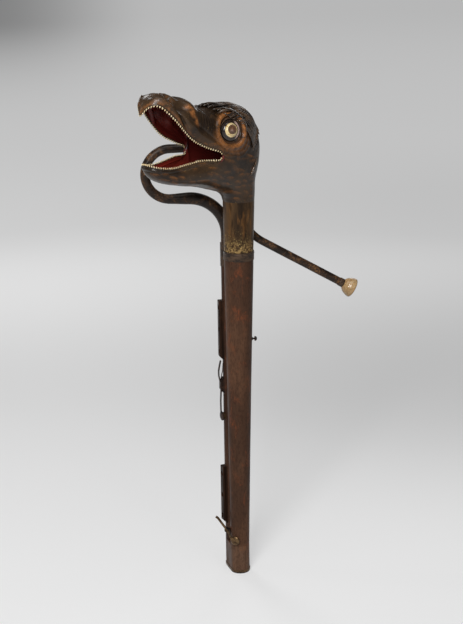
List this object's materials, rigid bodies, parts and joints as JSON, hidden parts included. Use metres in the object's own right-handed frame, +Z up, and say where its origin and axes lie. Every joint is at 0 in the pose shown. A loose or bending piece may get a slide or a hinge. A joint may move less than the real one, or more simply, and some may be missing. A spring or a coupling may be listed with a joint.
{
  "type": "serpent bass horn with a dragon-head bell",
  "caption": "Upright serpent bass horn: straight conical tubes in an oblong butt, sprung keys, a looped crook with a cup mouthpiece, and an open-mouthed dragon head as the bell",
  "frame": {"origin": "on the flat face of the foot, on the line between the axes of the two tubes", "axes": "+Z up along the narrow tube, -X towards the player's fingers and the dragon's mouth, +Y from the wide tube to the narrow one"},
  "size_m": [0.4864, 0.2031, 1.0075],
  "materials": {
    "tube_paint": "worn brown japanned paint with fine lengthwise streaks",
    "head_paint": "glossy dark bronze paint, rubbed to copper on the high places",
    "neck_paint": "glossy dark bronze paint with gold flakes at the foot",
    "hair_paint": "glossy near-black paint",
    "crook_paint": "dark brown paint, worn to bronze",
    "tooth_paint": "cream paint",
    "eye_paint": "cream and bronze paint",
    "collar_metal": "dark patinated metal",
    "block_wood": "dark stained hardwood",
    "iron": "blackened iron",
    "brass": "dull aged brass",
    "pad_leather": "pale soft leather",
    "cap_paint": "black paint",
    "ivory": null
  },
  "bodies": {
    "body": {"butt_shell": "tube_paint", "butt_cap": "cap_paint", "foot_bead": "brass", "bell_tube": "tube_paint", "wing_tube": "tube_paint", "bell_collar": "collar_metal", "wing_ferrule": "collar_metal", "upper_block": "block_wood", "lower_block": "block_wood", "key1_seat": "brass", "key1_saddle": "iron", "key1_axle": "brass", "key2_seat": "brass", "key2_saddle": "iron", "key2_axle": "brass", "key2_spring": "brass", "key2_spring_screw": "brass", "strap_button": "iron"},
    "upper_key": {"key1_lever": "iron", "key1_pad": "pad_leather", "key1_spring": "brass"},
    "lower_key": {"key2_lever": "iron", "key2_pad": "pad_leather"},
    "crook": {"crook": "crook_paint", "crook_tenon": "crook_paint", "crook_collar": "collar_metal"},
    "mouthpiece": {"mouthpiece": "ivory"},
    "head": {"neck": "neck_paint", "dragon_head": "head_paint", "upper_teeth": "tooth_paint", "lower_teeth": "tooth_paint", "left_eye": "eye_paint", "right_eye": "eye_paint", "crest_hair": "hair_paint"}
  },
  "joints": [
    {"name": "upper_key_hinge", "type": "hinge", "parent": "body", "child": "upper_key", "pos_m": [-0.01738, 0.0159, 0.3995], "axis": [0.1564, 0.9877, 0], "range_deg": [0, 3], "stiffness_Nm_per_rad": 1.2, "springref_deg": -5.73, "deforming": ["key1_spring"]},
    {"name": "lower_key_hinge", "type": "hinge", "parent": "body", "child": "lower_key", "pos_m": [-0.02419, -0.00703, 0.09106], "axis": [-0.3082, 0.4569, -0.8344], "range_deg": [0, 6], "stiffness_Nm_per_rad": 1, "springref_deg": -5.73, "deforming": ["key2_spring"]},
    {"name": "crook_turn", "type": "hinge", "parent": "body", "child": "crook", "pos_m": [0, 0.01315, 0.682], "axis": [0, 0, 1], "range_deg": [-6, 10]},
    {"name": "mouthpiece_pull", "type": "slide", "parent": "crook", "child": "mouthpiece", "axis": [0.8046, -0.3251, -0.497], "range_m": [0, 0.024]},
    {"name": "head_turn", "type": "hinge", "parent": "body", "child": "head", "pos_m": [0, -0.03225, 0.68588], "axis": [0, -0.02, 0.9998], "range_deg": [-10, 60]}
  ]
}
